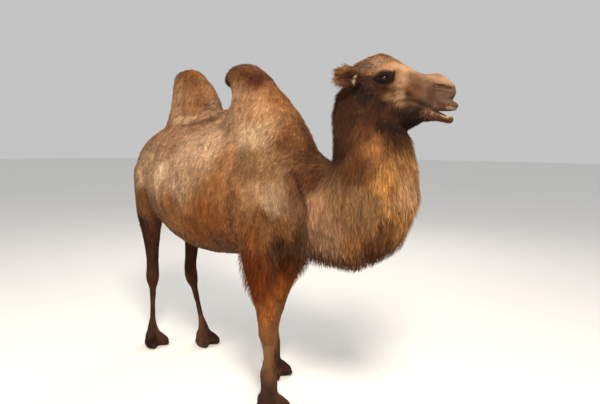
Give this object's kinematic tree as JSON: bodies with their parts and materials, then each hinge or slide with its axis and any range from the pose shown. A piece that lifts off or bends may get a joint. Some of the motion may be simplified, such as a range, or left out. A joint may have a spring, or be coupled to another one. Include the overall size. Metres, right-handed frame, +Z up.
{
  "type": "bactrian camel, standing",
  "caption": "Life-size standing two-humped camel, a still model with its head turned to the left and its mouth a little open, resting on the flats of its feet.",
  "frame": {"origin": "on the floor, at the middle of the animal's bounding box", "axes": "+X ahead, the way the body faces; +Y to the camel's left; +Z up"},
  "size_m": [2.697, 0.7472, 2.1359],
  "materials": {
    "coat_tan": "short golden-tan hair over hide",
    "coat_ridge": "red-brown hair on the humps",
    "coat_golden": "long golden neck ruff",
    "coat_face": "short grey-brown face hair",
    "coat_cuff": "red-brown hair on the forearms",
    "coat_shank": "short grey-brown hair on the shanks",
    "coat_dusk": "short dark brown hair",
    "eye": "wet dark brown",
    "nail": "dull horn"
  },
  "bodies": {
    "root": {"trunk": "coat_tan", "hump_front": "coat_ridge", "hump_rear": "coat_ridge", "neck": "coat_golden", "tail": "coat_dusk", "head": "coat_face", "jaw": "coat_face", "ear_left": "coat_face", "eye_left": "eye", "ear_right": "coat_face", "eye_right": "eye", "leg_fore_right_upper": "coat_cuff", "leg_fore_right_lower": "coat_shank", "foot_fore_right": "coat_dusk", "nail_fore_right_left": "nail", "nail_fore_right_right": "nail", "leg_fore_left_upper": "coat_cuff", "leg_fore_left_lower": "coat_shank", "foot_fore_left": "coat_dusk", "nail_fore_left_left": "nail", "nail_fore_left_right": "nail", "leg_hind_right_upper": "coat_dusk", "leg_hind_right_lower": "coat_dusk", "foot_hind_right": "coat_dusk", "nail_hind_right_left": "nail", "nail_hind_right_right": "nail", "leg_hind_left_upper": "coat_dusk", "leg_hind_left_lower": "coat_dusk", "foot_hind_left": "coat_dusk", "nail_hind_left_left": "nail", "nail_hind_left_right": "nail"}
  },
  "joints": []
}
